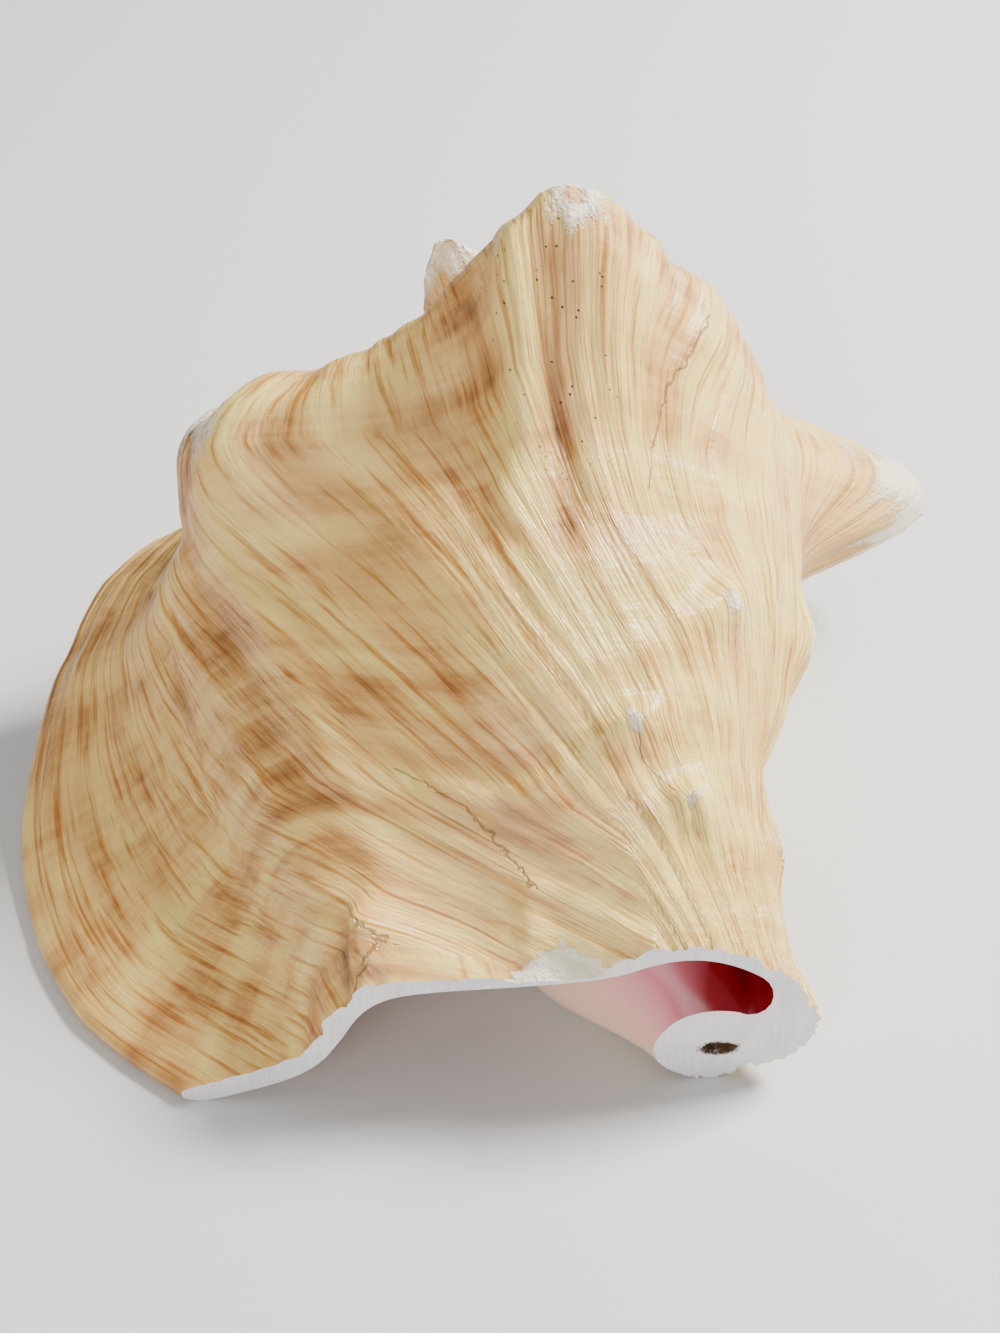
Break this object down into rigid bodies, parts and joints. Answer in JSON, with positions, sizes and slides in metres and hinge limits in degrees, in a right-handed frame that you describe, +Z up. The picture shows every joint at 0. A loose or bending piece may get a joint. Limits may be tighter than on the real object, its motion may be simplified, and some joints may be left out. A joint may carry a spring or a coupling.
{
  "type": "seashell",
  "caption": "Queen conch shell with a flared lip, blunt knobs and a knobbed spire, resting on its opening, its front end sawn off flat",
  "frame": {"origin": "the middle of the shell's base, on the surface that it rests on", "axes": "+X runs from the flared lip to the knob on the other side, +Y runs from the sawn front towards the spire, +Z is up as the shell rests"},
  "size_m": [0.1894, 0.1659, 0.1321],
  "materials": {
    "shell": "satin"
  },
  "bodies": {
    "root": {"conch_shell": "shell"}
  },
  "joints": []
}
